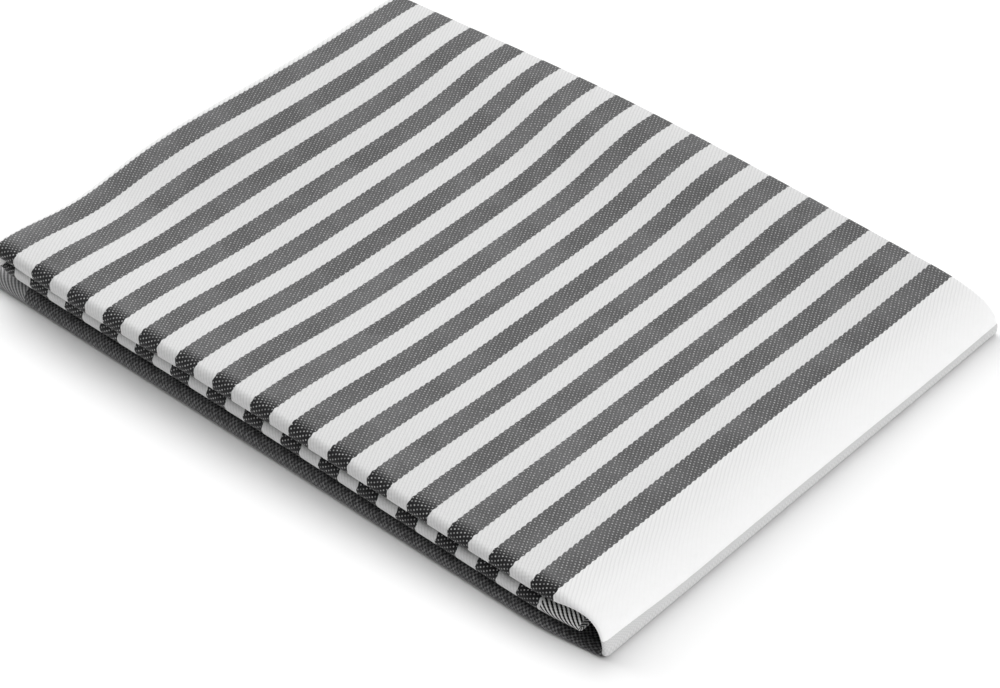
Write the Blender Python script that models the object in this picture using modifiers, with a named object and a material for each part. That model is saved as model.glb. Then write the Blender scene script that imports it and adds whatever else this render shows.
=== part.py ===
"""Folded tea towel: one striped cotton cloth, folded in thirds both ways.

The cloth is one flat grid of u (along) and v (across). Each point is carried
by the fold across the width, then by the fold along the length, and last by
the slips, the pressed nose and the swells that make the stack uneven.
Metres, +Z up, origin under the middle of the folded stack.
"""

import math
from typing import NamedTuple

import bpy

# The cloth
PERIOD = 0.0146                # one dark and one white stripe
THICKNESS = 0.00105
FLAT_WIDTH = 0.500             # selvedge to selvedge
STEP = 0.00192                 # between the middles of two layers that lie flat

# The folded stack, seen from above; x runs across the stripes, y along them
LEFT_NOSE = -0.35 * PERIOD     # outer face of the upper fold at the left end
RIGHT_NOSE = 15.68 * PERIOD    # outer face of the big fold at the right end
LEFT_HEM = -0.62 * PERIOD      # free end of the bottom strip
MIDDLE_HEM = 15.05 * PERIOD    # free end of the middle strip, inside the big fold
FRONT_NOSE = -0.43 * PERIOD    # outer face of the front folds
BACK_NOSE = 11.70 * PERIOD     # outer face of the back folds
UNDER_THIRD = 0.1585           # width of the third that lies under the front fold

# The fold across: three thirds, a front fold round the inner third, a back fold
FRONT_RADIUS = STEP
BACK_RADIUS = STEP / 2
FRONT_CENTRE = FRONT_NOSE + THICKNESS / 2 + FRONT_RADIUS
BACK_CENTRE = BACK_NOSE - THICKNESS / 2 - BACK_RADIUS

# The fold along: bottom strip, big right fold, top strip, left fold, middle strip
BOTTOM_Z = THICKNESS / 2 + STEP
MIDDLE_Z = BOTTOM_Z + 3 * STEP
TOP_Z = BOTTOM_Z + 6 * STEP
RIGHT_RADIUS = 3 * STEP
LEFT_RADIUS = 1.5 * STEP
LEFT_FOLD_EASE = 1.17          # the swell stands this fold up, so it takes more cloth
RIGHT_CENTRE = RIGHT_NOSE - THICKNESS / 2 - STEP - RIGHT_RADIUS
LEFT_CENTRE = LEFT_NOSE + THICKNESS / 2 + STEP + LEFT_RADIUS
FLAT_HEIGHT = TOP_Z + STEP + THICKNESS / 2

# The left fold joins two strips that lie askew, and evens that out over this length
LEFT_TWIST = 2.5 * PERIOD

# The big fold is pressed: its outer layers are square, and the room between its
# bottom and top strips closes, a little up to the middle strip's hem, more past it
NOSE_SQUARENESS = 3.0          # 2 is round
CLOSING_FROM = 14.0 * PERIOD
CLOSED_AT_HEM = 0.20           # part of that room
CLOSED_AT_NOSE = 0.62


class Run(NamedTuple):
    """A stretch of cloth between two fold lines."""

    name: str
    length: float
    steps: int


ACROSS = (
    Run("under third", UNDER_THIRD, 7),
    Run("front fold", math.pi * FRONT_RADIUS, 8),
    Run("outer third", BACK_CENTRE - FRONT_CENTRE, 8),
    Run("back fold", math.pi * BACK_RADIUS, 6),
    Run("inner third", 0.0, 7),
)

ALONG = (
    Run("bottom strip", RIGHT_CENTRE - LEFT_HEM, 11),
    Run("right fold", math.pi * RIGHT_RADIUS, 20),
    Run("top strip", RIGHT_CENTRE - LEFT_CENTRE, 11),
    Run("left fold", math.pi * LEFT_RADIUS * LEFT_FOLD_EASE, 9),
    Run("middle strip", MIDDLE_HEM - LEFT_CENTRE, 11),
)


class Slip(NamedTuple):
    """How far a strip's folded edges lie off the common lines, towards the back."""

    strip: str
    front_at_left: float
    front_at_right: float
    back_at_left: float
    back_at_right: float


# In periods
SLIPS = (
    Slip("bottom", 0.00, 0.00, 0.05, 0.30),
    Slip("middle", 0.08, 0.01, -0.25, 0.10),
    Slip("top", -0.25, -0.02, -0.40, 0.25),
)


class Swell(NamedTuple):
    """A soft rise or hollow of the stack: its middle, its reach and its rise."""

    name: str
    x: float
    y: float
    reach_x: float
    reach_y: float
    rise: float


# In periods; a rise is added to the height of the stack
SWELLS = (
    Swell("front ridge", 5.7, -0.3, 5.7, 2.6, 0.37),
    Swell("back ridge", 5.8, 11.0, 5.7, 1.8, 0.45),
    Swell("left fold", -0.8, 4.6, 3.7, 6.3, 0.42),
    Swell("front right corner", 16.1, 0.0, 2.8, 3.1, -0.16),
    Swell("back right corner", 16.0, 10.6, 3.2, 3.2, -0.22),
)


def stations(runs):
    """Distance along the cloth of every grid line, and of the end of each run."""
    lines = [0.0]
    for run in runs:
        start = lines[-1]
        lines += [start + run.length * (k + 1) / run.steps for k in range(run.steps)]
    return lines


def smooth(t):
    """Smooth step from 0 to 1."""
    t = min(max(t, 0.0), 1.0)
    return t * t * (3 - 2 * t)


def locate(distance, runs):
    """Name of the run that a distance falls in, and the distance into that run."""
    for run in runs[:-1]:
        if distance < run.length:
            return run.name, distance
        distance -= run.length
    return runs[-1].name, distance


def fold_across(v, runs):
    """Place of a point across the stack: y, and its offset from the middle layer."""
    name, s = locate(v, runs)
    if name == "under third":
        return FRONT_CENTRE + UNDER_THIRD - s, -STEP
    if name == "front fold":
        angle = s / FRONT_RADIUS
        return FRONT_CENTRE - FRONT_RADIUS * math.sin(angle), -FRONT_RADIUS * math.cos(angle)
    if name == "outer third":
        return FRONT_CENTRE + s, STEP
    if name == "back fold":
        angle = s / BACK_RADIUS
        return (BACK_CENTRE + BACK_RADIUS * math.sin(angle),
                BACK_RADIUS * (1 + math.cos(angle)))
    return BACK_CENTRE - s, 0.0


def fold_along(u, runs):
    """Place of the middle layer along the stack: x, z and its normal's x, z."""
    name, s = locate(u, runs)
    if name == "bottom strip":
        return LEFT_HEM + s, BOTTOM_Z, 0.0, -1.0
    if name == "right fold":
        angle = s / RIGHT_RADIUS
        normal = math.sin(angle), -math.cos(angle)
        return (RIGHT_CENTRE + RIGHT_RADIUS * normal[0],
                MIDDLE_Z + RIGHT_RADIUS * normal[1], *normal)
    if name == "top strip":
        return RIGHT_CENTRE - s, TOP_Z, 0.0, 1.0
    if name == "left fold":
        angle = s / (LEFT_RADIUS * LEFT_FOLD_EASE)
        normal = -math.sin(angle), math.cos(angle)
        return (LEFT_CENTRE + LEFT_RADIUS * normal[0],
                TOP_Z - LEFT_RADIUS + LEFT_RADIUS * normal[1], *normal)
    return LEFT_CENTRE + s, MIDDLE_Z, 0.0, -1.0


def press_nose(x, z):
    """Square off the outer layers of the big right fold."""
    dx, dz = x - RIGHT_CENTRE, z - MIDDLE_Z
    radius = math.hypot(dx, dz)
    if dx <= 0 or radius == 0:
        return x, z
    power = 2 + (NOSE_SQUARENESS - 2) * smooth((radius - 2 * STEP) / (2 * STEP))
    across, up = dx / radius, abs(dz) / radius
    grow = (across ** power + up ** power) ** (-1 / power)
    return RIGHT_CENTRE + dx * grow, MIDDLE_Z + dz * grow


def close_nose(x, z):
    """Let the top strip down into the room that the middle strip leaves free."""
    closed = (CLOSED_AT_HEM * smooth((x - CLOSING_FROM) / (MIDDLE_HEM - CLOSING_FROM))
              + (CLOSED_AT_NOSE - CLOSED_AT_HEM)
              * smooth((x - MIDDLE_HEM) / (RIGHT_NOSE - MIDDLE_HEM)))
    room = 4 * STEP
    above = min(max(z - BOTTOM_Z - STEP, 0.0), room)
    return z - closed * above


def mix(a, b, part):
    """Value a given part of the way from a to b."""
    return a + (b - a) * part


def slip(x, y, z):
    """Shift along y of the strip that a height belongs to; one shift at the nose."""
    part_x = (x - LEFT_NOSE) / (RIGHT_NOSE - LEFT_NOSE)
    part_y = (y - FRONT_NOSE) / (BACK_NOSE - FRONT_NOSE)
    bottom, middle, top = (
        PERIOD * mix(mix(row.front_at_left, row.front_at_right, part_x),
                     mix(row.back_at_left, row.back_at_right, part_x), part_y)
        for row in SLIPS)
    free = 1 - smooth((x - CLOSING_FROM) / (RIGHT_NOSE - CLOSING_FROM))
    to_middle = free * smooth((z - BOTTOM_Z - STEP) / STEP)
    at_once = smooth((z - MIDDLE_Z - STEP) / STEP)
    slowly = smooth((z - MIDDLE_Z + STEP) / (5 * STEP))
    to_top = free * mix(slowly, at_once, smooth((x - LEFT_CENTRE) / LEFT_TWIST))
    return bottom + (middle - bottom) * to_middle + (top - middle) * to_top


def swell(x, y):
    """Height of the stack at a place, over its height when it lies flat."""
    rise = sum(
        row.rise * math.exp(-((x / PERIOD - row.x) / row.reach_x) ** 2
                            - ((y / PERIOD - row.y) / row.reach_y) ** 2)
        for row in SWELLS)
    return 1 + rise * PERIOD / FLAT_HEIGHT


def place(u, v, along, across):
    """Place in the folded stack of the point (u, v) of the flat cloth."""
    y, offset = fold_across(v, across)
    x, z, normal_x, normal_z = fold_along(u, along)
    x, z = press_nose(x + offset * normal_x, z + offset * normal_z)
    y += slip(x, y, z)
    z = THICKNESS / 2 + (close_nose(x, z) - THICKNESS / 2) * swell(x, y)
    return x, y, z


def centre(vertices):
    """Move the stack so that the origin is under the middle of its outline."""
    for axis in (0, 1):
        values = [vertex.co[axis] for vertex in vertices]
        middle = (min(values) + max(values)) / 2
        for vertex in vertices:
            vertex.co[axis] -= middle


def clear_scene():
    """Remove every object of the open scene."""
    for obj in list(bpy.data.objects):
        bpy.data.objects.remove(obj, do_unlink=True)


def cotton():
    """Plain finish of the cloth, the mean of its stripes."""
    material = bpy.data.materials.new("striped_cotton")
    material.use_nodes = True
    shader = material.node_tree.nodes["Principled BSDF"]
    shader.inputs["Base Color"].default_value = (0.36, 0.36, 0.37, 1.0)
    shader.inputs["Roughness"].default_value = 0.9
    shader.inputs["Metallic"].default_value = 0.0
    return material


def tea_towel(collection):
    """The whole cloth, folded, as one solid."""
    used = sum(run.length for run in ACROSS)
    across = ACROSS[:-1] + (ACROSS[-1]._replace(length=FLAT_WIDTH - used),)
    u_lines, v_lines = stations(ALONG), stations(across)
    columns, rows = len(u_lines) - 1, len(v_lines) - 1
    bpy.ops.mesh.primitive_grid_add(x_subdivisions=columns, y_subdivisions=rows, size=1.0)
    towel = bpy.context.object
    towel.name = towel.data.name = "tea_towel"
    for vertex in towel.data.vertices:
        u = u_lines[round((vertex.co.x + 0.5) * columns)]
        v = v_lines[round((vertex.co.y + 0.5) * rows)]
        vertex.co = place(u, v, ALONG, across)
    centre(towel.data.vertices)
    body = towel.modifiers.new("Cloth thickness", "SOLIDIFY")
    body.thickness = THICKNESS
    body.offset = 0.0
    body.use_even_offset = True
    towel.data.shade_smooth()
    towel.data.materials.append(cotton())
    for owner in list(towel.users_collection):
        owner.objects.unlink(towel)
    collection.objects.link(towel)
    return towel


def main():
    clear_scene()
    collection = bpy.data.collections.new("folded_tea_towel")
    bpy.context.scene.collection.children.link(collection)
    tea_towel(collection)


main()
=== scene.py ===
"""Looks of the folded tea towel: its woven cloth, its studio and its camera.

The cloth is modelled once more, much finer than the solid and on the same folds.
It keeps its flat sizes, in metres, as a UV map, and every pattern of the weave is
drawn in that map, so stripes, dots and ribs run round the folds with the cloth.
Metres, +Z up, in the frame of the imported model.
"""

from __future__ import annotations

import logging
import math
from dataclasses import dataclass, field
from enum import Enum

import bpy
import numpy as np
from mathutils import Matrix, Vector

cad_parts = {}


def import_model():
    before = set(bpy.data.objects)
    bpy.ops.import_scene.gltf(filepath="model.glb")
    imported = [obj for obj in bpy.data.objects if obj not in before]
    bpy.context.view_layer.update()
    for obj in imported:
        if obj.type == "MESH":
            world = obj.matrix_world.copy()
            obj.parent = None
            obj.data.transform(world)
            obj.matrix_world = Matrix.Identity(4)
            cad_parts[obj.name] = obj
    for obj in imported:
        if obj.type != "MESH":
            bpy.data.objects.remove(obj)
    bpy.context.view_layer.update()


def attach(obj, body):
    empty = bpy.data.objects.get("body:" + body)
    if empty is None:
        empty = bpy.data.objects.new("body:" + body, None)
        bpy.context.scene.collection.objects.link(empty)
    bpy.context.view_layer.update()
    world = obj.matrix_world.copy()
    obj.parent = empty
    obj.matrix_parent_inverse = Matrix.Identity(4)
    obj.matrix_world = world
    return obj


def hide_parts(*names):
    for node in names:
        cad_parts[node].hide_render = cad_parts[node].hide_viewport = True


LOG = logging.getLogger("tea_towel")
NODE = "tea_towel"
BODY = "root"
FLAT_MAP = "Flat cloth"
PERIOD = 0.0146          # one dark and one white stripe
THREAD = PERIOD / 33     # between neighbouring threads, both ways
TINY = 1e-9              # keeps a radius off zero
SATIN_REPEAT = 5         # threads in one repeat of the satin, both ways
WHOLE_PERIODS = 40       # added to a count of periods, to keep it above 0


def smooth(value: np.ndarray | float) -> np.ndarray | float:
    """Smooth step from 0 to 1."""
    part = np.clip(value, 0.0, 1.0)
    return part * part * (3 - 2 * part)


def mix(low: float, high: float, part: np.ndarray | float) -> np.ndarray | float:
    """Value a given part of the way from low to high."""
    return low + (high - low) * part


# --------------------------------------------------------------------------
# How the cloth is folded
# --------------------------------------------------------------------------


@dataclass(frozen=True)
class Run:
    """A stretch of cloth between two fold lines.

    Args:
        length: its length in the flat cloth.
        steps: how many strips of faces it is made of.
    """

    length: float
    steps: int


@dataclass(frozen=True)
class Slip:
    """How far a strip's folded edges lie off the common lines, in periods.

    Args:
        front_at_left: of its front fold, at the left end.
        front_at_right: of its front fold, at the right end.
        back_at_left: of its back fold, at the left end.
        back_at_right: of its back fold, at the right end.
    """

    front_at_left: float
    front_at_right: float
    back_at_left: float
    back_at_right: float

    def at(self, part_x: np.ndarray, part_y: np.ndarray) -> np.ndarray:
        """Shift at a place.

        Args:
            part_x: the part of the way from the left fold to the right one.
            part_y: the part of the way from the front folds to the back ones.

        Returns:
            The shift along y, in metres.
        """
        front = mix(self.front_at_left, self.front_at_right, part_x)
        back = mix(self.back_at_left, self.back_at_right, part_x)
        return PERIOD * mix(front, back, part_y)


@dataclass(frozen=True)
class Swell:
    """A soft rise or hollow of the stack, in periods.

    Args:
        x: of its middle.
        y: of its middle.
        reach_x: along the stack.
        reach_y: across it.
        rise: at its middle, below 0 for a hollow.
    """

    x: float
    y: float
    reach_x: float
    reach_y: float
    rise: float

    def at(self, x: np.ndarray, y: np.ndarray) -> np.ndarray:
        """Rise at a place given in periods."""
        return self.rise * np.exp(-((x - self.x) / self.reach_x) ** 2
                                  - ((y - self.y) / self.reach_y) ** 2)


@dataclass
class FoldedStack:
    """The folds of the stack: thirds across the width, then thirds along the length.

    The strips and folds repeat those of the solid, so the fine cloth lies in the same
    place. Swells are soft rises and hollows of the whole stack.

    Args:
        thickness: of the cloth.
        flat_width: of the flat cloth.
        step: between the middles of two layers.
        left_nose: outside of the left fold, along x.
        right_nose: outside of the right fold.
        left_hem: the bottom strip's hem.
        middle_hem: the middle strip's hem, inside the right fold.
        front_nose: outside of the front folds, along y.
        back_nose: outside of the back folds.
        under_third: width of the third that lies undermost.
        left_fold_ease: cloth in the left fold, over that of a tight half turn.
        left_gather: cloth gathered out of sight inside the left fold.
        gather_reach: the stretch that takes it in.
        left_twist: how far from the left fold the top strip reaches its own shift.
        left_skew: how much more cloth the left fold takes in front.
        skew_along: the stretch of cloth that this moves.
        skew_across: how far in from the front it goes on.
        under_squareness: of the lower half of the right fold; 2 is round.
        upper_squareness: of its upper half.
        closing_from: where the top strip starts to come down to the right fold.
        closed: how much of the room under it is taken up at the fold.
        closed_in_front: the same at the front edge.
        front_end: how far in from the front edge this changes.
        lean: how far the right fold leans in for each metre that it rises.
        pressed: how much closer the layers of the right fold lie.
        pressed_in_front: the same at the front edge.
        pressed_reach: the stretch of cloth past the fold where the press dies out.
        pressed_end: how far in from the front edge the press changes.
        tip_slip: how far in the right fold's front end lies, in periods.
        bottom_slip: of the bottom strip.
        middle_slip: of the middle strip.
        top_slip: of the top strip.
        front_ridge: swell of the front edge, left of its middle.
        back_ridge: swell of the back edge.
        left_rise: swell of the left end.
        left_corner_rise: small swell of the front left corner.
        left_edge_dip: small hollow behind that corner.
        left_edge_rise: small swell behind that hollow.
        back_corner_dip: hollow of the back right corner.
        nose_dip: hollow along the right fold.
    """

    thickness: float = 0.00080
    flat_width: float = 0.500
    step: float = 0.00192
    left_nose: float = -0.35 * PERIOD
    right_nose: float = 15.68 * PERIOD
    left_hem: float = -0.62 * PERIOD
    middle_hem: float = 15.05 * PERIOD
    front_nose: float = -0.43 * PERIOD
    back_nose: float = 11.70 * PERIOD
    under_third: float = 0.1585
    left_fold_ease: float = 1.17
    left_gather: float = 0.0018
    gather_reach: float = 0.020
    left_twist: float = 2.5 * PERIOD
    left_skew: float = 0.0009
    skew_along: float = 1.5 * PERIOD
    skew_across: float = 7.0 * PERIOD
    under_squareness: float = 6.0
    upper_squareness: float = 4.0
    closing_from: float = 14.0 * PERIOD
    closed: float = 0.80
    closed_in_front: float = 0.50
    front_end: float = 2.8 * PERIOD
    lean: float = 0.25
    pressed: float = 0.30
    pressed_in_front: float = 0.72
    pressed_reach: float = 0.012
    pressed_end: float = 1.4 * PERIOD
    tip_slip: float = 0.20
    bottom_slip: Slip = Slip(0.00, 0.00, 0.05, 0.30)
    middle_slip: Slip = Slip(0.00, 0.01, -0.25, 0.10)
    top_slip: Slip = Slip(-0.25, 0.03, -0.40, 0.25)
    front_ridge: Swell = Swell(5.7, -0.3, 5.7, 2.6, 0.37)
    back_ridge: Swell = Swell(5.8, 11.0, 5.7, 1.8, 0.45)
    left_rise: Swell = Swell(-0.8, 4.6, 3.7, 6.3, 0.42)
    left_corner_rise: Swell = Swell(-0.5, -0.4, 1.6, 1.1, 0.10)
    left_edge_dip: Swell = Swell(-0.4, 1.6, 2.6, 1.3, -0.17)
    left_edge_rise: Swell = Swell(-0.4, 4.4, 2.0, 1.6, 0.08)
    back_corner_dip: Swell = Swell(16.0, 10.6, 3.2, 3.2, -0.22)
    nose_dip: Swell = Swell(16.1, 5.6, 1.0, 16.0, -0.12)

    def __post_init__(self) -> None:
        """Work out the fold centres, the strips' heights and the runs of cloth."""
        half = self.thickness / 2
        self.front_centre = self.front_nose + half + self.step
        self.back_centre = self.back_nose - half - self.step / 2
        self.bottom_z = half + self.step
        self.middle_z = self.bottom_z + 3 * self.step
        self.top_z = self.bottom_z + 6 * self.step
        self.flat_height = self.top_z + self.step + half
        self.right_radius = 3 * self.step
        self.left_radius = 1.5 * self.step
        self.right_centre = self.right_nose - half - 4 * self.step
        self.left_centre = self.left_nose + half + 2.5 * self.step
        outer_third = self.back_centre - self.front_centre
        front_fold = math.pi * self.step
        back_fold = math.pi * self.step / 2
        inner_third = (self.flat_width - self.under_third - front_fold
                       - outer_third - back_fold)
        self.across = (Run(self.under_third, 46), Run(front_fold, 16),
                       Run(outer_third, 60), Run(back_fold, 10), Run(inner_third, 44))
        self.along = (Run(self.right_centre - self.left_hem, 56),
                      Run(math.pi * self.right_radius, 34),
                      Run(self.right_centre - self.left_centre, 88),
                      Run(math.pi * self.left_radius * self.left_fold_ease, 22),
                      Run(self.middle_hem - self.left_centre, 56))

    def flat_length(self, u: np.ndarray | float) -> np.ndarray | float:
        """Distance along the flat cloth, with what is gathered inside the left fold."""
        left = self.starts(self.along)[3]
        return u + self.left_gather * smooth((u - left) / self.gather_reach)

    @property
    def length(self) -> float:
        """Flat length of the cloth."""
        return float(self.flat_length(sum(run.length for run in self.along)))

    @staticmethod
    def starts(runs: tuple[Run, ...]) -> list[float]:
        """Where each run starts in the flat cloth."""
        return [sum(run.length for run in runs[:k]) for k in range(len(runs))]

    def lines(self, runs: tuple[Run, ...]) -> np.ndarray:
        """Places of the grid lines across a row of runs.

        Args:
            runs: the runs of cloth, in order.

        Returns:
            Their distances along the flat cloth, the first one 0.
        """
        parts = [start + run.length * np.arange(run.steps) / run.steps
                 for start, run in zip(self.starts(runs), runs)]
        return np.append(np.concatenate(parts), sum(run.length for run in runs))

    def fold_across(self, v: np.ndarray) -> tuple[np.ndarray, np.ndarray]:
        """Fold the width in thirds.

        Args:
            v: distance across the flat cloth.

        Returns:
            y in the stack, and the offset from the strip's middle layer.
        """
        _, front, outer, back, inner = self.starts(self.across)
        turn = np.clip((v - front) / self.step, 0, math.pi)
        tuck = np.clip((v - back) / (self.step / 2), 0, math.pi)
        y = np.select(
            [v < front, v < outer, v < back, v < inner],
            [self.front_centre + front - v,
             self.front_centre - self.step * np.sin(turn),
             self.front_centre + v - outer,
             self.back_centre + self.step / 2 * np.sin(tuck)],
            self.back_centre - (v - inner))
        offset = np.where(v < outer, -self.step * np.cos(turn),
                          self.step / 2 * (1 + np.cos(tuck)))
        return y, offset

    def fold_along(self, u: np.ndarray) -> tuple[np.ndarray, ...]:
        """Fold the length in thirds.

        Args:
            u: distance along the flat cloth.

        Returns:
            x and z of the middle layer, and its normal's x and z.
        """
        _, right, top, left, middle = self.starts(self.along)
        turn = np.clip((u - right) / self.right_radius, 0, math.pi)
        back = np.clip((u - left) / (self.left_radius * self.left_fold_ease), 0, math.pi)
        normal_x = np.where(u < left, np.sin(turn), -np.sin(back))
        normal_z = np.where(u < left, -np.cos(turn), np.cos(back))
        x = np.select(
            [u < right, u < top, u < left, u < middle],
            [self.left_hem + u,
             self.right_centre + self.right_radius * normal_x,
             self.right_centre - (u - top),
             self.left_centre + self.left_radius * normal_x],
            self.left_centre + u - middle)
        z = np.where(u < left, self.middle_z + self.right_radius * normal_z,
                     self.top_z - self.left_radius + self.left_radius * normal_z)
        return x, z, normal_x, normal_z

    def skew_fold(self, u: np.ndarray, y: np.ndarray) -> np.ndarray:
        """Run the left fold a little askew, so that it takes in more cloth in front.

        Args:
            u: distance along the flat cloth.
            y: place across the stack.

        Returns:
            The distance along the cloth that is folded in its stead.
        """
        left = self.starts(self.along)[3]
        near = smooth(1 - np.abs(u - left) / self.skew_along)
        in_front = 1 - np.clip((y - self.front_nose) / self.skew_across, 0.0, 1.0)
        return u + self.left_skew * near * in_front

    def press_layers(self, u: np.ndarray, y: np.ndarray, offset: np.ndarray) -> np.ndarray:
        """Press the layers of the right fold against the outer one, hardest in front.

        Args:
            u: distance along the flat cloth.
            y: place across the stack.
            offset: offset from the strip's middle layer.

        Returns:
            The offset once pressed.
        """
        _, right, top, _, _ = self.starts(self.along)
        away = np.abs(u - (right + top) / 2) - (top - right) / 2
        inwards = smooth((y - self.front_nose) / self.pressed_end)
        pressed = mix(self.pressed_in_front, self.pressed, inwards)
        pressed = pressed * (1 - smooth(away / self.pressed_reach))
        return self.step - (self.step - offset) * (1 - pressed)

    def press_nose(self, x: np.ndarray, z: np.ndarray) -> tuple[np.ndarray, np.ndarray]:
        """Square off the outer layers of the big right fold, most of all underneath.

        Args:
            x: place along the stack.
            z: height.

        Returns:
            x and z of the squared fold.
        """
        dx = np.maximum(x - self.right_centre, 0.0)
        dz = z - self.middle_z
        radius = np.hypot(dx, dz) + TINY
        squareness = np.where(dz < 0, self.under_squareness, self.upper_squareness)
        power = 2 + (squareness - 2) * smooth((radius - 2 * self.step) / (2 * self.step))
        with np.errstate(divide="ignore"):
            grow = ((dx / radius) ** power + (np.abs(dz) / radius) ** power) ** (-1 / power)
        grow = np.where(dx > 0, grow, 1.0)
        return x + dx * (grow - 1), self.middle_z + dz * grow

    def towards_fold(self, x: np.ndarray) -> np.ndarray:
        """Part of the way from where the top strip comes down to the right fold."""
        return np.clip((x - self.closing_from) / (self.right_nose - self.closing_from), 0, 1)

    def close_nose(self, x: np.ndarray, y: np.ndarray, z: np.ndarray) -> np.ndarray:
        """Let the top strip down into the room that the middle strip leaves free.

        Args:
            x: place along the stack.
            y: place across it.
            z: height.

        Returns:
            The height once the strip has come down.
        """
        inwards = smooth((y - self.front_nose) / self.front_end)
        closed = mix(self.closed_in_front, self.closed, inwards) * self.towards_fold(x) ** 2
        above = np.clip(z - self.bottom_z - self.step, 0.0, 4 * self.step)
        return z - closed * above

    def slip(self, x: np.ndarray, y: np.ndarray, z: np.ndarray) -> np.ndarray:
        """Shift along y of the strip that a height belongs to.

        Args:
            x: place along the stack.
            y: place across it, unshifted.
            z: height.

        Returns:
            The shift. At the right fold, where the cloth runs from the bottom strip up
            to the top one, all of it has the bottom strip's.
        """
        part_x = (x - self.left_nose) / (self.right_nose - self.left_nose)
        part_y = (y - self.front_nose) / (self.back_nose - self.front_nose)
        bottom = self.bottom_slip.at(part_x, part_y)
        middle = self.middle_slip.at(part_x, part_y)
        top = self.top_slip.at(part_x, part_y)
        free = 1 - smooth(self.towards_fold(x))
        at_once = smooth((z - self.middle_z - self.step) / self.step)
        slowly = smooth((z - self.middle_z + self.step) / (5 * self.step))
        flat = smooth((x - self.left_centre) / self.left_twist)
        tip = self.tip_slip * PERIOD * (1 - free) * (1 - smooth(part_y * 2))
        to_middle = free * smooth((z - self.bottom_z - self.step) / self.step)
        to_top = free * mix(slowly, at_once, flat)
        return bottom + tip + (middle - bottom) * to_middle + (top - middle) * to_top

    def swell(self, x: np.ndarray, y: np.ndarray) -> np.ndarray:
        """Height of the stack at a place, over its height when it lies flat.

        Args:
            x: place along the stack.
            y: place across it.

        Returns:
            The height, 1 where there is no swell.
        """
        rows = (self.front_ridge, self.back_ridge, self.left_rise, self.left_corner_rise,
                self.left_edge_dip, self.left_edge_rise, self.back_corner_dip, self.nose_dip)
        rise = sum(row.at(x / PERIOD, y / PERIOD) for row in rows)
        return 1 + rise * PERIOD / self.flat_height

    def place(self, u: np.ndarray, v: np.ndarray) -> np.ndarray:
        """Fold points of the flat cloth.

        Args:
            u: distances along the cloth.
            v: distances across it, of the same shape.

        Returns:
            Their places in the stack, one row a point.
        """
        y, offset = self.fold_across(v)
        u = self.skew_fold(u, y)
        offset = self.press_layers(u, y, offset)
        x, z, normal_x, normal_z = self.fold_along(u)
        x, z = self.press_nose(x + offset * normal_x, z + offset * normal_z)
        y = y + self.slip(x, y, z)
        half = self.thickness / 2
        z = half + (self.close_nose(x, y, z) - half) * self.swell(x, y)
        near = smooth((x - self.middle_hem) / (self.right_nose - self.middle_hem))
        x = x - self.lean * near * (z - self.bottom_z)
        return np.stack([x, y, z], axis=-1)


# --------------------------------------------------------------------------
# Shader maths
# --------------------------------------------------------------------------


class Wire:
    """A socket that takes part in sums and products, each a Math node."""

    def __init__(self, graph: "Graph", socket: bpy.types.NodeSocket) -> None:
        """Wrap a socket of a graph."""
        self.graph = graph
        self.socket = socket

    def __add__(self, other: "Wire | float") -> "Wire":
        """Sum."""
        return self.graph.math("ADD", self, other)

    __radd__ = __add__

    def __sub__(self, other: "Wire | float") -> "Wire":
        """Difference."""
        return self.graph.math("SUBTRACT", self, other)

    def __rsub__(self, other: float) -> "Wire":
        """Difference from a number."""
        return self.graph.math("SUBTRACT", other, self)

    def __mul__(self, other: "Wire | float") -> "Wire":
        """Product."""
        return self.graph.math("MULTIPLY", self, other)

    __rmul__ = __mul__

    def __truediv__(self, other: "Wire | float") -> "Wire":
        """Quotient."""
        return self.graph.math("DIVIDE", self, other)


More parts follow.
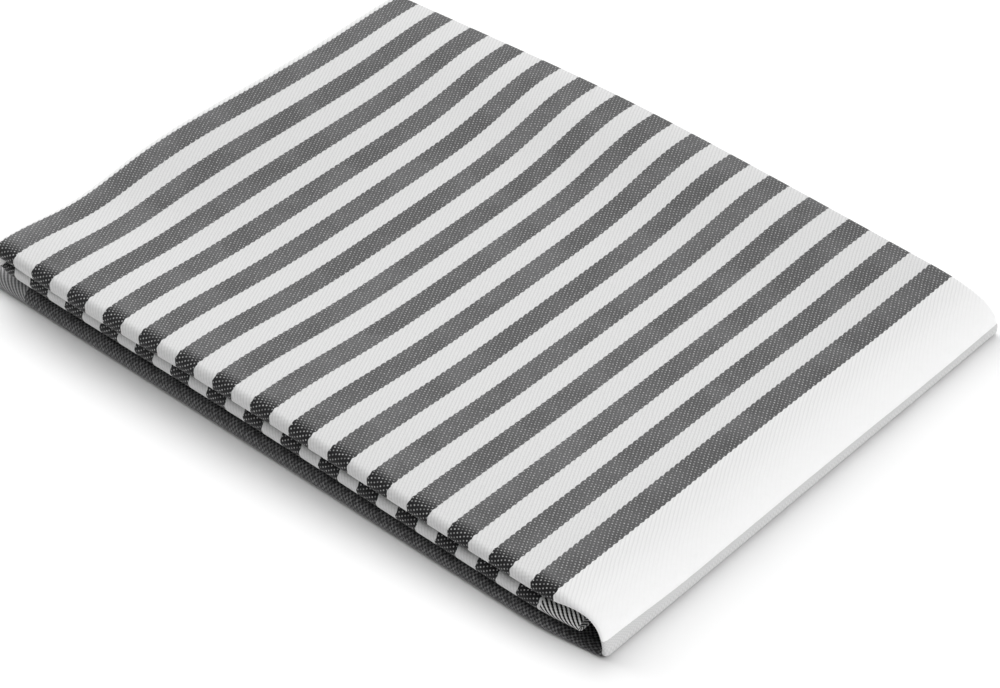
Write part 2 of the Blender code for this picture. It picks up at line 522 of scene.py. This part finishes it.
class Graph:
    """A node tree and the shader that it feeds."""

    def __init__(self, tree: bpy.types.NodeTree, shader: str) -> None:
        """Take a node tree and its shader's name."""
        self.tree = tree
        self.shader = tree.nodes[shader]

    def node(self, kind: str, settings: dict | None = None,
             inputs: dict | None = None) -> bpy.types.Node:
        """Add a node.

        Args:
            kind: the node's type.
            settings: its properties, set first.
            inputs: values or wires for its sockets, by name or number.

        Returns:
            The new node.
        """
        node = self.tree.nodes.new(kind)
        for key, value in (settings or {}).items():
            setattr(node, key, value)
        for key, value in (inputs or {}).items():
            self.feed(node.inputs[key], value)
        return node

    def feed(self, socket: bpy.types.NodeSocket, value: object) -> None:
        """Give a socket a value or a link."""
        if isinstance(value, Wire):
            self.tree.links.new(value.socket, socket)
        else:
            socket.default_value = value

    def out(self, node: bpy.types.Node, name: str | int = 0) -> Wire:
        """Wrap an output of a node."""
        return Wire(self, node.outputs[name])

    def math(self, operation: str, *values: "Wire | float") -> Wire:
        """Add a Math node.

        Args:
            operation: its operation.
            values: numbers or wires for its sockets, in order.

        Returns:
            The result.
        """
        node = self.node("ShaderNodeMath", {"operation": operation},
                         dict(enumerate(values)))
        return self.out(node)

    def ramp(self, value: Wire, low: float, high: float) -> Wire:
        """Smooth step of a value.

        Args:
            value: the value.
            low: where the step is 0.
            high: where it is 1, above or below low.

        Returns:
            The step.
        """
        node = self.node("ShaderNodeMapRange", {"interpolation_type": "SMOOTHSTEP"},
                         {"Value": value, "From Min": low, "From Max": high})
        return self.out(node, "Result")

    def noise(self, vector: Wire, scale: float, detail: float = 2.0,
              roughness: float = 0.5) -> Wire:
        """Noise about 0.5.

        Args:
            vector: the place, in metres.
            scale: count of features in a metre.
            detail: count of finer layers.
            roughness: strength of each finer layer over the one before.

        Returns:
            The noise.
        """
        node = self.node("ShaderNodeTexNoise", {},
                         {"Vector": vector, "Scale": scale, "Detail": detail,
                          "Roughness": roughness})
        return self.out(node, "Fac")

    def blend(self, part: "Wire | float", first: object, second: object) -> Wire:
        """Mix two colours.

        Args:
            part: how much of the second one shows.
            first: a colour, or a wire of one.
            second: the same.

        Returns:
            The mixed colour.
        """
        node = self.node("ShaderNodeMix", {"data_type": "RGBA"}, {0: part, 6: first, 7: second})
        return self.out(node, 2)


def new_material(name: str) -> tuple[bpy.types.Material, Graph]:
    """Start a material with a bare Principled BSDF.

    Args:
        name: the material's name.

    Returns:
        The material and its graph.
    """
    material = bpy.data.materials.new(name)
    material.use_nodes = True
    return material, Graph(material.node_tree, "Principled BSDF")


# --------------------------------------------------------------------------
# The woven cotton
# --------------------------------------------------------------------------


class Weave(Enum):
    """How a band of the cloth is woven."""

    RIB = "twill ribs"
    PLAIN_DARK = "fine plain weave of dark yarn"
    PLAIN_WHITE = "fine plain weave of white yarn"
    SATIN = "five-end satin, whose weft shows as one dot in five"


@dataclass(frozen=True)
class Band:
    """A band of the cloth, from selvedge to selvedge.

    Args:
        end: where it ends, along the flat cloth.
        weave: how it is woven.
    """

    end: float
    weave: Weave


@dataclass(frozen=True)
class Edge:
    """Values between which a mark of the weave fades in.

    Args:
        none: where none of it shows.
        full: where all of it shows.
    """

    none: float
    full: float

    def of(self, value: Wire) -> Wire:
        """How much of the mark shows at a value."""
        return value.graph.ramp(value, self.none, self.full)


@dataclass(frozen=True)
class Spot:
    """A place on the flat cloth, as wires of the shader.

    Args:
        flat: the place itself.
        u: its distance along the cloth.
        v: its distance across it.
        a: its count of warp threads, which sway a little.
        b: its count of weft threads, which sway as well.
        fleck: fine unevenness of the yarn, about 0.5.
    """

    flat: Wire
    u: Wire
    v: Wire
    a: Wire
    b: Wire
    fleck: Wire


@dataclass(frozen=True)
class Look:
    """How a weave looks.

    Args:
        colour: of its yarns.
        height: of its relief, as a part of the cotton's relief.
    """

    colour: Wire
    height: Wire


@dataclass(frozen=True)
class WovenCotton:
    """The finish of the cloth: yarns, bands and stripes.

    Scales count features in a metre, edges of fleck and patch are in the noise's own
    values, and heights are parts of the relief.

    Args:
        stripe_origin: where stripe 0's far edge lies along the flat cloth.
        bands: the bands from the bottom strip's hem to the middle strip's hem.
        border_start: where the white border starts.
        first_stripe: where it ends and the stripes start.
        front_fold: the middle of the front fold, across the flat cloth.
        far_ribs: where the ribs at the far hem start.
        dark_part: the part of a period that is dark.
        tooth: how far a stripe's edge jogs, in threads.
        sway: how far a thread wanders, in threads.
        fold_shade_edge: distance from the front fold within which the dark yarn is darkest,
            painted shade on the fronts of the folds.
        painted_lit_edge: distance about the middle of the front fold over which the plain dark
            cloth turns lighter, painted light on the bottom strip's lower side.
        groove_edge: of the fine steep grooves between rows of dots.
        dot_width: of a weft dot, across its row.
        dot_length: of a weft dot, along its row.
        check_rate: how fine the plain weave is.
        rib_rates: how fine the ribs are, by warp and by weft.
        twist_rates: how fine the twist of their yarn is.
        relief: height of the weave, in metres.
    """

    stripe_origin: float
    bands: tuple[Band, ...]
    border_start: float
    first_stripe: float
    front_fold: float
    far_ribs: float

    # Colours of the yarns, as they show in each weave
    # The dark yarn's two colours are its own tone and random worn patches, both lightened as
    # painted sheen
    dark_yarn_and_sheen: tuple[float, ...] = (0.076, 0.076, 0.077, 1.0)
    worn_yarn_and_sheen: tuple[float, ...] = (0.106, 0.106, 0.108, 1.0)
    # Painted shade: the dark yarn turns near black in the front folds, whose fronts face away
    # from the light
    fold_shade_yarn: tuple[float, ...] = (0.006, 0.006, 0.007, 1.0)
    white_yarn: tuple[float, ...] = (0.66, 0.66, 0.66, 1.0)
    shade_yarn: tuple[float, ...] = (0.53, 0.53, 0.53, 1.0)
    border_yarn: tuple[float, ...] = (0.76, 0.76, 0.76, 1.0)
    border_shade: tuple[float, ...] = (0.66, 0.66, 0.66, 1.0)
    # Painted highlight: the white border is painted brighter towards the right fold
    painted_highlight_yarn: tuple[float, ...] = (0.93, 0.93, 0.93, 1.0)
    weft_dot: tuple[float, ...] = (0.50, 0.50, 0.50, 1.0)
    dull_dot: tuple[float, ...] = (0.17, 0.17, 0.172, 1.0)
    soft_rib: tuple[float, ...] = (0.36, 0.36, 0.363, 1.0)
    soft_ground: tuple[float, ...] = (0.11, 0.11, 0.112, 1.0)
    plain_dark: tuple[float, ...] = (0.012, 0.012, 0.013, 1.0)
    plain_grey: tuple[float, ...] = (0.15, 0.15, 0.152, 1.0)
    # Painted light: lighter copies of the plain dark cloth, for the lower side of the bottom
    # strip's front fold
    painted_lit_dark: tuple[float, ...] = (0.050, 0.050, 0.051, 1.0)
    painted_lit_grey: tuple[float, ...] = (0.32, 0.32, 0.323, 1.0)

    # Stripes, and the unevenness of the cloth
    dark_part: float = 0.505
    tooth: float = 1.6
    sway: float = 1.1
    warp_sway_scale: float = 160.0
    weft_sway_scale: float = 145.0
    fleck_scale: float = 900.0
    patch_scale: float = 70.0

    # Where each mark fades in
    worn_edge: Edge = Edge(0.35, 0.70)
    fold_shade_edge: Edge = Edge(0.0068, 0.0024)
    dull_edge: Edge = Edge(0.62, 0.38)
    streak_edge: Edge = Edge(0.45, 0.75)
    raised_edge: Edge = Edge(0.30, 0.62)
    painted_lit_edge: Edge = Edge(-0.0022, 0.0022)
    dot_edge: Edge = Edge(1.05, 0.45)
    dip_edge: Edge = Edge(2.3, 0.9)
    groove_edge: Edge = Edge(0.24, 0.44)
    check_edge: Edge = Edge(-0.35, 0.35)
    rib_edge: Edge = Edge(-0.25, 0.45)

    # How strongly each mark shades the white yarn
    groove_shade: float = 0.75
    dip_shade: float = 0.20
    streak_shade: float = 0.25
    border_groove_shade: float = 0.85
    check_shade: float = 0.6

    # Dots, checks and ribs
    dot_width: float = 0.62
    dot_length: float = 0.52
    check_rate: float = 0.68
    rib_rates: tuple[float, float] = (1.15, 1.45)
    twist_rates: tuple[float, float] = (0.5, 1.2)
    twist: float = 0.22

    # Relief
    relief: float = 0.00012
    bump: float = 0.55
    dot_height: float = 0.6
    dip_height: float = -0.25
    groove_height: float = -0.30
    thread_height: float = 0.20
    rib_height: float = 0.7
    check_height: float = 0.5
    fleck_height: float = 0.5

    # Surface
    roughness: float = 0.72
    sheen: float = 0.10
    sheen_roughness: float = 0.5
    specular: float = 0.18

    def build(self) -> bpy.types.Material:
        """Make the material.

        Returns:
            The cotton, for a piece that has the flat map.
        """
        material, graph = new_material("Woven striped cotton")
        spot = self.spot(graph)
        dark, white = self.plain(graph, spot)
        looks = {Weave.RIB: self.ribbed(graph, spot), Weave.PLAIN_DARK: dark,
                 Weave.PLAIN_WHITE: white, Weave.SATIN: self.striped(graph, spot)}
        first = looks[self.bands[0].weave]
        colour, height = first.colour, first.height
        for before, band in zip(self.bands, self.bands[1:]):
            past = graph.math("GREATER_THAN", spot.a, before.end / THREAD)
            look = looks[band.weave]
            colour = graph.blend(past, colour, look.colour)
            height = height + (look.height - height) * past
        bump = graph.node("ShaderNodeBump", {},
                          {"Strength": self.bump, "Distance": self.relief,
                           "Height": height + spot.fleck * self.fleck_height})
        shader = graph.shader.inputs
        graph.feed(shader["Base Color"], colour)
        graph.feed(shader["Normal"], graph.out(bump))
        graph.feed(shader["Roughness"], self.roughness)
        graph.feed(shader["Sheen Weight"], self.sheen)
        graph.feed(shader["Sheen Roughness"], self.sheen_roughness)
        graph.feed(shader["Specular IOR Level"], self.specular)
        return material

    def spot(self, graph: Graph) -> Spot:
        """Find the place on the flat cloth and count its threads.

        Args:
            graph: the material's graph.

        Returns:
            The place.
        """
        flat = graph.out(graph.node("ShaderNodeUVMap", {"uv_map": FLAT_MAP}))
        parts = graph.node("ShaderNodeSeparateXYZ", {}, {0: flat})
        u, v = graph.out(parts, 0), graph.out(parts, 1)
        warp_sway = graph.noise(flat, self.warp_sway_scale) - 0.5
        weft_sway = graph.noise(flat, self.weft_sway_scale, detail=1.0) - 0.5
        fleck = graph.noise(flat, self.fleck_scale, detail=3.0, roughness=0.7)
        return Spot(flat=flat, u=u, v=v, fleck=fleck,
                    a=u / THREAD + warp_sway * self.sway,
                    b=v / THREAD + weft_sway * self.sway)

    def ribbed(self, graph: Graph, spot: Spot) -> Look:
        """Twill ribs, soft and dull at the near hem, black and white at the far one.

        Args:
            graph: the material's graph.
            spot: the place on the cloth.

        Returns:
            Their look.
        """
        ribs = self.ribs(graph, spot)
        far = graph.math("GREATER_THAN", spot.u, self.far_ribs - THREAD)
        ground = graph.blend(far, self.soft_ground, self.plain_dark)
        rib = graph.blend(far, self.soft_rib, self.white_yarn)
        return Look(graph.blend(ribs, ground, rib), ribs * self.rib_height)

    def plain(self, graph: Graph, spot: Spot) -> tuple[Look, Look]:
        """Fine plain weave, with painted light and shade: lighter past the middle of the front
        fold, on the bottom strip's lower side, and darker on its upper side.

        Args:
            graph: the material's graph.
            spot: the place on the cloth.

        Returns:
            The look of the dark cloth, and of the white.
        """
        checks = self.checks(graph, spot)
        raised = checks * self.raised_edge.of(spot.fleck)
        # Painted light and shade: the plain cloth is lighter past the middle of the front fold,
        # its lower side, and darker above
        painted_lit_part = self.painted_lit_edge.of(spot.v - self.front_fold)
        dark = graph.blend(painted_lit_part, graph.blend(raised, self.plain_dark, self.plain_grey),
                           graph.blend(raised, self.painted_lit_dark, self.painted_lit_grey))
        white = graph.blend(checks * self.check_shade, self.white_yarn, self.shade_yarn)
        height = checks * self.check_height
        return Look(dark, height), Look(white, height)

    def striped(self, graph: Graph, spot: Spot) -> Look:
        """Satin of the stripes and of the white border, with a painted highlight on the border.

        Args:
            graph: the material's graph.
            spot: the place on the cloth.

        Returns:
            Its look.
        """
        dots, dips, grooves = self.satin(graph, spot)
        shade = (grooves * self.groove_shade + dips * self.dip_shade
                 + self.streak_edge.of(spot.fleck) * self.streak_shade)
        white = graph.blend(shade, self.white_yarn, self.shade_yarn)
        border = graph.blend(grooves * self.border_groove_shade,
                             self.border_yarn, self.border_shade)
        # Painted highlight: the border brightens from the stripes to the right fold
        highlight_towards_fold = graph.ramp(spot.u, self.first_stripe, self.border_start)
        border = graph.blend(highlight_towards_fold, border, self.painted_highlight_yarn)
        past_border = graph.math("GREATER_THAN", spot.u, self.first_stripe)
        colour = graph.blend(self.stripes(graph, spot),
                             graph.blend(past_border, border, white),
                             self.charcoal(graph, spot, dots))
        height = (dots * self.dot_height + dips * self.dip_height
                  + grooves * self.groove_height
                  + self.ridges(graph, spot) * self.thread_height)
        return Look(colour, height)

    def charcoal(self, graph: Graph, spot: Spot, dots: Wire) -> Wire:
        """Colour of the dark stripes, worn in patches, with painted shade in the front folds.

        Args:
            graph: the material's graph.
            spot: the place on the cloth.
            dots: where the white weft comes up.

        Returns:
            The colour.
        """
        patch = graph.noise(spot.flat, self.patch_scale, detail=3.0)
        # Worn patches at random, on a dark yarn lightened as painted sheen
        warp = graph.blend(self.worn_edge.of(patch), self.dark_yarn_and_sheen, self.worn_yarn_and_sheen)
        off_fold = graph.math("ABSOLUTE", spot.v - self.front_fold)
        # Painted shade: the dark yarn turns near black near the front folds, whose fronts face
        # away from the light
        warp = graph.blend(self.fold_shade_edge.of(off_fold), warp, self.fold_shade_yarn)
        dot = graph.blend(self.dull_edge.of(spot.fleck), self.weft_dot, self.dull_dot)
        return graph.blend(dots, warp, dot)

    def satin(self, graph: Graph, spot: Spot) -> tuple[Wire, Wire, Wire]:
        """Places where the weft comes up in a five-end satin.

        Args:
            graph: the material's graph.
            spot: the place on the cloth.

        Returns:
            The dot itself, the wider dip of the warp about it, and the fine steep
            grooves between the rows of dots.
        """
        p = (spot.a * 2 - spot.b) / SATIN_REPEAT
        q = (spot.a + spot.b * 2) / SATIN_REPEAT
        dp = p - graph.math("ROUND", p)
        dq = q - graph.math("ROUND", q)
        across = (dp * 2 + dq) / self.dot_width
        along = (dq * 2 - dp) / self.dot_length
        reach = graph.math("SQRT", across * across + along * along)
        grooves = self.groove_edge.of(graph.math("ABSOLUTE", dp))
        return self.dot_edge.of(reach), self.dip_edge.of(reach), grooves

    def checks(self, graph: Graph, spot: Spot) -> Wire:
        """Chequer of a plain weave of doubled yarns.

        Args:
            graph: the material's graph.
            spot: the place on the cloth.

        Returns:
            1 where the weft is up, 0 where it is down.
        """
        warp = graph.math("SINE", spot.a * (math.pi * self.check_rate))
        weft = graph.math("SINE", spot.b * (math.pi * self.check_rate))
        return self.check_edge.of(warp * weft)

    def ribs(self, graph: Graph, spot: Spot) -> Wire:
        """Steep twill ribs of twisted yarn.

        Args:
            graph: the material's graph.
            spot: the place on the cloth.

        Returns:
            1 where the light weft is up, 0 where it is down.
        """
        by_warp, by_weft = self.rib_rates
        wave = graph.math("SINE", (spot.a * by_warp - spot.b * by_weft) * (math.pi / 2))
        by_warp, by_weft = self.twist_rates
        twist = graph.math("SINE", (spot.a * by_warp + spot.b * by_weft) * math.pi)
        return self.rib_edge.of(wave + twist * self.twist)

    @staticmethod
    def ridges(graph: Graph, spot: Spot) -> Wire:
        """Rounded tops of the warp threads."""
        return graph.math("ABSOLUTE", graph.math("SINE", spot.a * math.pi))

    def teeth(self, graph: Graph, spot: Spot) -> Wire:
        """Jogs of a stripe's edge, one each repeat of the satin, in threads."""
        across = graph.math("FRACT", spot.b / SATIN_REPEAT)
        return (graph.math("ABSOLUTE", across - 0.5) - 0.25) * self.tooth

    def stripes(self, graph: Graph, spot: Spot) -> Wire:
        """Stripes, whose edges lie between two warp threads.

        Args:
            graph: the material's graph.
            spot: the place on the cloth.

        Returns:
            1 on the dark stripes, 0 on the white ones and on the border.
        """
        u = spot.u + self.teeth(graph, spot) * THREAD
        count = (self.stripe_origin - u) / PERIOD + WHOLE_PERIODS
        dark = graph.math("LESS_THAN", graph.math("FRACT", count), self.dark_part)
        return dark * graph.math("GREATER_THAN", u, self.first_stripe)


# --------------------------------------------------------------------------
# The cloth
# --------------------------------------------------------------------------


@dataclass
class TowelCloth:
    """The one sheet of cloth, folded, with its weave.

    Args:
        stack: the folds.
        thickness: of the plain cloth.
        hem_thickness: of its two turned ends.
        hem_width: of those ends, along the cloth.
        hem_slope: over which a hem thins out to the plain cloth.
        rib_width: of the twill ribs at the bottom strip's hem.
        dark_end: how far round the right fold the plain dark cloth goes, as a part.
        white_end: how far round it the plain white cloth goes.
        last_stripe_end: where the stripes end on the middle strip, along x.
        border: from stripe 0's far edge to the white border, along the cloth.
    """

    stack: FoldedStack = field(default_factory=FoldedStack)
    thickness: float = 0.00080
    hem_thickness: float = 0.00100
    hem_width: float = 0.008
    hem_slope: float = 0.002
    rib_width: float = 0.0149
    dark_end: float = 0.26
    white_end: float = 0.56
    last_stripe_end: float = 14.22 * PERIOD
    border: float = 14.505 * PERIOD

    def finish(self) -> WovenCotton:
        """Work out where the bands and stripes of this towel lie.

        Returns:
            The finish of its cloth.
        """
        stack = self.stack
        _, right, top, _, middle = stack.starts(stack.along)
        fold = top - right
        far_ribs = stack.flat_length(middle + self.last_stripe_end - stack.left_centre)
        origin = stack.right_centre + top
        return WovenCotton(
            stripe_origin=origin,
            border_start=right + self.white_end * fold,
            first_stripe=origin - self.border,
            front_fold=sum(stack.starts(stack.across)[1:3]) / 2,
            far_ribs=far_ribs,
            bands=(Band(self.rib_width, Weave.RIB),
                   Band(right + self.dark_end * fold, Weave.PLAIN_DARK),
                   Band(right + self.white_end * fold, Weave.PLAIN_WHITE),
                   Band(far_ribs, Weave.SATIN),
                   Band(stack.length, Weave.RIB)))

    def build(self) -> bpy.types.Object:
        """Model the cloth and dress it.

        Returns:
            The finished sheet, closed, with its place in its mesh.
        """
        cloth, u, v = self.flat_sheet()
        self.fold(cloth, u, v)
        self.thicken(cloth, u)
        cloth.data.shade_smooth()
        cloth.data.materials.clear()
        cloth.data.materials.append(self.finish().build())
        return cloth

    def flat_sheet(self) -> tuple[bpy.types.Object, np.ndarray, np.ndarray]:
        """Add the sheet as a flat grid, one row and column for each strip of faces.

        Returns:
            The sheet, and each point's distance along the flat cloth and across it.
        """
        u_lines = self.stack.lines(self.stack.along)
        v_lines = self.stack.lines(self.stack.across)
        columns, rows = len(u_lines) - 1, len(v_lines) - 1
        bpy.ops.object.select_all(action="DESELECT")
        bpy.ops.mesh.primitive_grid_add(x_subdivisions=columns, y_subdivisions=rows,
                                        size=1.0, calc_uvs=True)
        cloth = bpy.context.object
        cloth.name = cloth.data.name = "tea_towel_cloth"
        grid = np.empty(len(cloth.data.vertices) * 3)
        cloth.data.vertices.foreach_get("co", grid)
        grid = grid.reshape(-1, 3) + 0.5
        u = u_lines[np.rint(grid[:, 0] * columns).astype(int)]
        v = v_lines[np.rint(grid[:, 1] * rows).astype(int)]
        return cloth, u, v

    def fold(self, cloth: bpy.types.Object, u: np.ndarray, v: np.ndarray) -> None:
        """Fold the sheet, and keep its flat sizes as a UV map.

        Args:
            cloth: the sheet.
            u: distance along the flat cloth of each of its points.
            v: distance across the flat cloth of each of its points.
        """
        mesh = cloth.data
        places = self.stack.place(u, v)
        places[:, 2] += self.hem(u) * (self.hem_thickness - self.thickness) / 2
        middle = (places.min(axis=0) + places.max(axis=0)) / 2
        places[:, :2] -= middle[:2]
        mesh.vertices.foreach_set("co", places.ravel())
        corner = np.empty(len(mesh.loops), dtype=int)
        mesh.loops.foreach_get("vertex_index", corner)
        uv_map = mesh.uv_layers[0]
        uv_map.name = FLAT_MAP
        flat = np.stack([self.stack.flat_length(u), v], axis=-1)
        uv_map.data.foreach_set("uv", flat[corner].ravel())

    def hem(self, u: np.ndarray) -> np.ndarray:
        """How much of a place along the cloth is hem: 1 in it, 0 well off it."""
        edge = np.minimum(u, u.max() - u)
        return 1 - smooth((edge - self.hem_width) / self.hem_slope)

    def thicken(self, cloth: bpy.types.Object, u: np.ndarray) -> None:
        """Give the sheet its thickness, more at the two hems.

        Args:
            cloth: the sheet.
            u: distance along the flat cloth of each of its points.
        """
        group = cloth.vertex_groups.new(name="Hems")
        weight = mix(self.thickness / self.hem_thickness, 1.0, self.hem(u))
        for value in np.unique(weight):
            group.add(np.flatnonzero(weight == value).tolist(), float(value), "REPLACE")
        body = cloth.modifiers.new("Cloth thickness", "SOLIDIFY")
        body.thickness = self.hem_thickness
        body.offset = 0.0
        body.vertex_group = group.name
        body.use_even_offset = True
        bpy.ops.object.modifier_apply(modifier=body.name)


# --------------------------------------------------------------------------
# The studio
# --------------------------------------------------------------------------


@dataclass(frozen=True)
class Softbox:
    """A soft patch of light in the studio's surroundings.

    Args:
        azimuth: where its middle is, in degrees from +X towards +Y.
        elevation: of its middle, in degrees above the floor.
        strength: of its middle.
    """

    azimuth: float
    elevation: float
    strength: float


def polar(azimuth: float, elevation: float) -> Vector:
    """Direction at an azimuth from +X and an elevation, both in degrees."""
    turn, rise = math.radians(azimuth), math.radians(elevation)
    return Vector((math.cos(rise) * math.cos(turn), math.cos(rise) * math.sin(turn),
                   math.sin(rise)))


@dataclass(frozen=True)
class Studio:
    """Pale floor, soft light and the camera.

    Args:
        floor_size: side of the floor.
        floor_colour: of the floor.
        floor_roughness: of the floor.
        softboxes: the patches of light.
        softness: how narrow a patch is; it is the power of the cosine.
        aim: what the camera looks at.
        azimuth: of the camera from there, in degrees from +X towards +Y.
        elevation: of the camera, in degrees.
        distance: of the camera.
        lens: its focal length, in millimetres.
        sensor: width of its sensor, in millimetres.
        nearest: the nearest distance that it sees.
    """

    floor_size: float = 6.0
    floor_colour: tuple[float, ...] = (0.95, 0.95, 0.95, 1.0)
    floor_roughness: float = 0.9
    softboxes: tuple[Softbox, ...] = (
        Softbox(0.0, 15.0, 2.16),
        Softbox(180.0, 15.0, 7.40),
        Softbox(0.0, 50.0, 2.49),
        Softbox(45.0, 50.0, 1.02),
        Softbox(135.0, 50.0, 3.00),
        Softbox(180.0, 50.0, 1.00),
    )
    softness: float = 12.0
    aim: tuple[float, ...] = (0.0192, -0.0158, 0.0088)
    azimuth: float = -48.47
    elevation: float = 40.71
    distance: float = 0.996
    lens: float = 124.06
    sensor: float = 36.0
    nearest: float = 0.05

    def build(self) -> None:
        """Set up the floor, the lights and the camera."""
        self.floor()
        self.surroundings()
        self.camera()
        bpy.context.scene.view_settings.view_transform = "Standard"

    def floor(self) -> None:
        """Add the floor that the towel lies on."""
        bpy.ops.object.select_all(action="DESELECT")
        bpy.ops.mesh.primitive_plane_add(size=self.floor_size)
        floor = bpy.context.object
        floor.name = "floor"
        material, graph = new_material("Pale floor")
        shader = graph.shader.inputs
        graph.feed(shader["Base Color"], self.floor_colour)
        graph.feed(shader["Roughness"], self.floor_roughness)
        graph.feed(shader["Specular IOR Level"], 0.0)
        floor.data.materials.append(material)

    def surroundings(self) -> None:
        """Light the towel with the soft patches, and with nothing else."""
        world = bpy.data.worlds.new("Studio")
        bpy.context.scene.world = world
        world.use_nodes = True
        graph = Graph(world.node_tree, "Background")
        way = graph.out(graph.node("ShaderNodeTexCoord"), "Generated")
        light = 0.0
        for softbox in self.softboxes:
            towards = tuple(polar(softbox.azimuth, softbox.elevation))
            facing = graph.node("ShaderNodeVectorMath", {"operation": "DOT_PRODUCT"},
                                {0: way, 1: towards})
            facing = graph.math("MAXIMUM", graph.out(facing, "Value"), 0.0)
            patch = graph.math("POWER", facing, self.softness)
            light = patch * softbox.strength + light
        graph.feed(graph.shader.inputs["Color"], (1.0, 1.0, 1.0, 1.0))
        graph.feed(graph.shader.inputs["Strength"], light)

    def camera(self) -> None:
        """Stand the camera in front, to the right and above."""
        data = bpy.data.cameras.new("Camera")
        data.lens = self.lens
        data.sensor_width = self.sensor
        data.clip_start = self.nearest
        camera = bpy.data.objects.new("Camera", data)
        away = polar(self.azimuth, self.elevation)
        camera.location = Vector(self.aim) + away * self.distance
        camera.rotation_euler = away.to_track_quat("Z", "Y").to_euler()
        bpy.context.scene.collection.objects.link(camera)
        bpy.context.scene.camera = camera


def main() -> None:
    """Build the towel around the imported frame."""
    logging.basicConfig(level=logging.INFO, format="%(name)s: %(message)s")
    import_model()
    towel = TowelCloth()
    cloth = towel.build()
    LOG.info("%s: %d faces, flat %.3f x %.3f m", cloth.name, len(cloth.data.polygons),
             towel.stack.flat_width, towel.stack.length)
    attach(cloth, BODY)
    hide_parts(NODE)
    towel.stack.length
    Studio().build()
    LOG.info("studio: floor, lights and camera")


if __name__ == "__main__":
    main()
